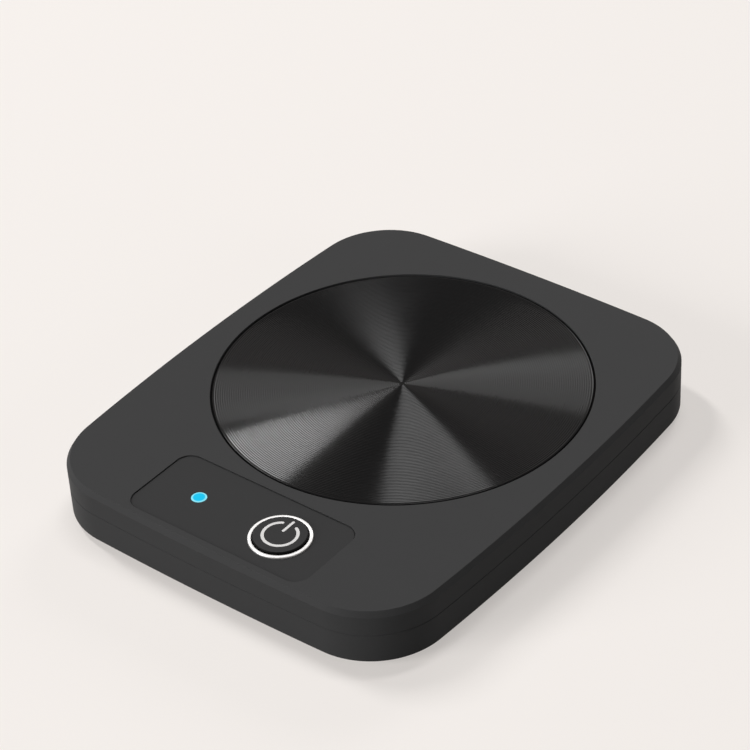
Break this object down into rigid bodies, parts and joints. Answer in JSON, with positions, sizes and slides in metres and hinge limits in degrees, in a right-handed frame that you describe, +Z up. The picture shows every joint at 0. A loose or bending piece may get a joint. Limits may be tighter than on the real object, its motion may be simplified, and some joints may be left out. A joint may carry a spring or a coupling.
{
  "type": "electric mug warmer",
  "caption": "Low desktop mug warmer: two-part case with bowed sides, round ribbed heating plate, inset control panel with a lit indicator and a ringed push button.",
  "frame": {"origin": "centre of the base, on the surface that the feet stand on", "axes": "+Z up, +Y away from the control panel, +X to the right of a user who faces the panel"},
  "size_m": [0.1048, 0.1268, 0.0159],
  "materials": {
    "case_plastic": "fine matt moulded ABS, near black",
    "plate_coating": "gloss black coating over turned aluminium with fine rings",
    "silicone": "matt black silicone",
    "heater_film": "amber polyimide film heater",
    "insulation": "off-white fibre felt",
    "steel": "zinc plated steel",
    "sensor_shell": "bare aluminium",
    "cutout_shell": "dark painted shell",
    "panel_plastic": "satin near-black inlay",
    "lens": "clear light guide, lit cyan blue",
    "lamp_plastic": "white lamp body",
    "chrome_ring": "satin chrome",
    "button_plastic": "satin black cap with a silver power symbol",
    "plunger_plastic": "black plunger",
    "component_black": "black moulded component",
    "board": "green solder mask",
    "capacitor_can": "bare can",
    "connector_plastic": "natural nylon",
    "lead_white": "white silicone insulation",
    "lead_yellow": "yellow insulation",
    "lead_red": "red insulation",
    "contact_brass": "nickel plated brass",
    "foot_rubber": "matt black rubber"
  },
  "bodies": {
    "base": {"top_cover": "case_plastic", "bottom_cover": "case_plastic", "heating_plate": "plate_coating", "plate_gasket": "silicone", "heater_element": "heater_film", "insulation_pad": "insulation", "pressure_plate": "steel", "pressure_plate_screws": "steel", "temperature_sensor": "sensor_shell", "thermal_cutout": "cutout_shell", "cutout_strap": "steel", "control_panel": "panel_plastic", "led_lens": "lens", "indicator_led": "lamp_plastic", "button_ring": "chrome_ring", "switch_body": "component_black", "circuit_board": "board", "board_screws": "steel", "microcontroller": "component_black", "power_transistor": "component_black", "smoothing_capacitor": "capacitor_can", "board_connectors": "connector_plastic", "heater_leads": "lead_white", "sensor_leads": "lead_yellow", "cutout_leads": "lead_white", "supply_leads": "lead_red", "power_inlet": "component_black", "inlet_contacts": "contact_brass", "case_screws": "steel", "rubber_feet": "foot_rubber"},
    "button": {"power_button": "button_plastic", "switch_plunger": "plunger_plastic"}
  },
  "joints": [
    {"name": "power_button_press", "type": "slide", "parent": "base", "child": "button", "axis": [0, 0, -1], "range_m": [0, 0.0008], "stiffness_N_per_m": 1200, "springref_m": -0.0005}
  ]
}
